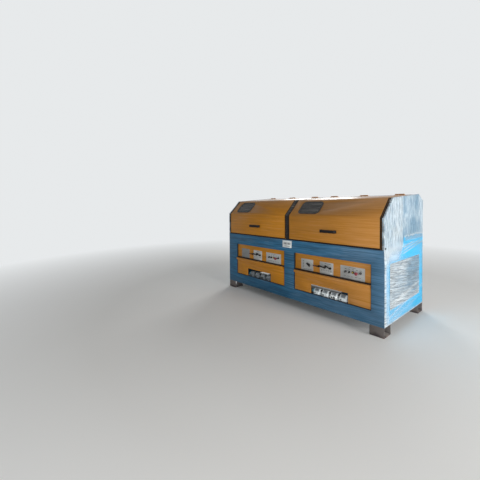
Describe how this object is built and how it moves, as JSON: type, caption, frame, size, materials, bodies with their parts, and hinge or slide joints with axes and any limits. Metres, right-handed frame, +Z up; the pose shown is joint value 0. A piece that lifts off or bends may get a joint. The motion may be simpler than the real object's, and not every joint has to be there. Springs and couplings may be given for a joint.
{
  "type": "two-block cabinet of a straight-line wire drawing machine",
  "caption": "Long floor-standing wire drawing cabinet: blue frame, hinged orange hoods with windows over drawing drums, control panels and water valves in front.",
  "frame": {"origin": "on the floor under the middle of the whole outline, hood handles included", "axes": "+X along the wire line towards the cabinet's right end, -Y out of the front with the control panels, +Z up"},
  "size_m": [2.8, 1.336, 1.6701],
  "materials": {
    "frame_blue": "semi-gloss enamel",
    "panel_orange": "semi-gloss enamel",
    "black_trim": "satin",
    "primer": "matt primer with rust",
    "deck_steel": "oiled",
    "drum_steel": "turned",
    "hinge_steel": "zinc plated",
    "machine_grey": "painted casting",
    "motor_blue": "painted casting",
    "instrument_plate": "satin anodised",
    "black_plastic": "moulded",
    "button_yellow": "moulded",
    "button_red": "moulded",
    "valve_white": "moulded",
    "tag_white": "plain",
    "seal_rubber": "matt",
    "belt_rubber": "matt",
    "window_glass": "smoked clear sheet",
    "stretch_film": "creased and milky, see-through between its creases"
  },
  "bodies": {
    "cabinet": {"skid_feet": "primer", "front_face_plate": "frame_blue", "rear_face_plate": "frame_blue", "end_face_plates": "frame_blue", "frame_posts": "frame_blue", "base_beams": "frame_blue", "cross_beams": "frame_blue", "deck_plate": "deck_steel", "mid_bulkhead": "frame_blue", "control_panel_left": "panel_orange", "control_panel_right": "panel_orange", "access_cover_left": "panel_orange", "access_cover_right": "panel_orange", "rear_panels": "panel_orange", "instrument_plates": "instrument_plate", "control_switches": "black_plastic", "start_buttons": "button_yellow", "stop_buttons": "button_red", "air_valves": "black_plastic", "water_valves": "valve_white", "number_tag": "tag_white", "end_wall_left": "frame_blue", "end_wall_right": "frame_blue", "middle_arch": "black_trim", "hinge_beam": "frame_blue", "rear_cowl": "frame_blue", "hood_seals": "seal_rubber", "hinge_blocks": "hinge_steel", "drum_left": "drum_steel", "drum_right": "drum_steel", "die_boxes": "machine_grey", "tension_arms": "machine_grey", "gearboxes": "machine_grey", "motors": "motor_blue", "drive_belts": "belt_rubber", "end_films": "stretch_film"},
    "left_hood": {"hood_shell_left": "panel_orange", "window_gasket_left": "seal_rubber", "window_pane_left": "window_glass", "hood_handle_left": "black_plastic", "hood_hinges_left": "hinge_steel"},
    "right_hood": {"hood_shell_right": "panel_orange", "window_gasket_right": "seal_rubber", "window_pane_right": "window_glass", "hood_handle_right": "black_plastic", "hood_hinges_right": "hinge_steel"}
  },
  "joints": [
    {"name": "left_hood_hinge", "type": "hinge", "parent": "cabinet", "child": "left_hood", "pos_m": [-0.6965, 0.38139, 1.66107], "axis": [-1, 0, 0], "range_deg": [0, 65]},
    {"name": "right_hood_hinge", "type": "hinge", "parent": "cabinet", "child": "right_hood", "pos_m": [0.6965, 0.38139, 1.66107], "axis": [-1, 0, 0], "range_deg": [0, 65]}
  ]
}
